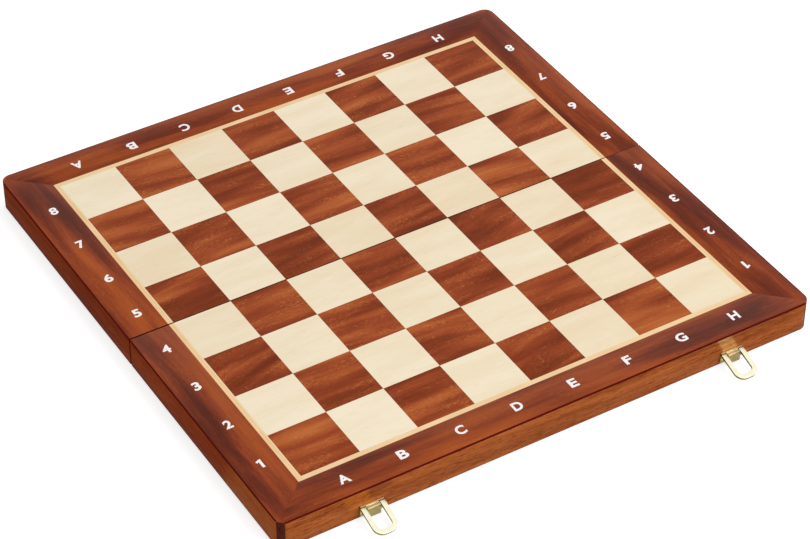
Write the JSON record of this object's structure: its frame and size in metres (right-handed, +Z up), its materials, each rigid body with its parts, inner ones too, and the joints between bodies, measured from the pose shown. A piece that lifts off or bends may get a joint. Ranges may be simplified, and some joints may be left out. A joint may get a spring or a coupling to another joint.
{
  "type": "folding chess box",
  "caption": "Folding wooden chess box: two hinged half boxes whose outsides form an inlaid chessboard, with notched racks inside and brass loop clasps.",
  "frame": {"origin": "on the rim plane, in the middle of the seam, on the seam edge of the front half", "axes": "+X along the ranks from file A to file H, +Y from rank 1 to rank 8 across the seam, +Z up through the playing surface"},
  "size_m": [0.477, 0.4998, 0.0275],
  "materials": {
    "dark_veneer": "satin lacquered mahogany veneer",
    "light_veneer": "satin lacquered maple veneer",
    "string_wood": "satin lacquered pale stringing",
    "side_veneer": "satin lacquered side veneer",
    "core_wood": "stained and lacquered solid wood",
    "plywood": "plain birch plywood",
    "rack_wood": "plain sanded beech",
    "felt": "short green felt",
    "brass": "polished"
  },
  "bodies": {
    "front_half": {"front_outer_wall": "core_wood", "front_seam_wall": "core_wood", "front_left_wall": "core_wood", "front_right_wall": "core_wood", "front_outer_veneer": "side_veneer", "front_left_veneer": "side_veneer", "front_right_veneer": "side_veneer", "front_panel": "plywood", "front_outer_border": "dark_veneer", "front_left_border": "dark_veneer", "front_right_border": "dark_veneer", "front_stringing": "string_wood", "front_light_squares": "light_veneer", "front_dark_squares": "dark_veneer", "front_felt": "felt", "front_notched_strip": "rack_wood", "front_divider": "rack_wood", "left_hinge_front_leaf": "brass", "left_hinge_pin": "brass", "left_clasp_plate": "brass", "left_clasp_pin": "brass", "right_hinge_front_leaf": "brass", "right_hinge_pin": "brass", "right_clasp_plate": "brass", "right_clasp_pin": "brass", "front_hinge_screws": "brass", "clasp_plate_nails": "brass"},
    "rear_half": {"rear_outer_wall": "core_wood", "rear_seam_wall": "core_wood", "rear_left_wall": "core_wood", "rear_right_wall": "core_wood", "rear_outer_veneer": "side_veneer", "rear_left_veneer": "side_veneer", "rear_right_veneer": "side_veneer", "rear_panel": "plywood", "rear_outer_border": "dark_veneer", "rear_left_border": "dark_veneer", "rear_right_border": "dark_veneer", "rear_stringing": "string_wood", "rear_light_squares": "light_veneer", "rear_dark_squares": "dark_veneer", "rear_felt": "felt", "rear_notched_strip": "rack_wood", "rear_divider": "rack_wood", "left_hinge_rear_leaf": "brass", "left_clasp_catch": "brass", "right_hinge_rear_leaf": "brass", "right_clasp_catch": "brass", "rear_hinge_screws": "brass", "clasp_catch_nails": "brass"},
    "left_bail": {"left_clasp_bail": "brass"},
    "right_bail": {"right_clasp_bail": "brass"}
  },
  "joints": [
    {"name": "fold", "type": "hinge", "parent": "front_half", "child": "rear_half", "pos_m": [0, 0.0002, -0.00015], "axis": [-1, 0, 0], "range_deg": [0, 180]},
    {"name": "left_bail_swing", "type": "hinge", "parent": "front_half", "child": "left_bail", "pos_m": [-0.162, -0.2372, 0.0092], "axis": [1, 0, 0], "range_deg": [-58, 72]},
    {"name": "right_bail_swing", "type": "hinge", "parent": "front_half", "child": "right_bail", "pos_m": [0.162, -0.2372, 0.0092], "axis": [1, 0, 0], "range_deg": [-58, 72]}
  ]
}
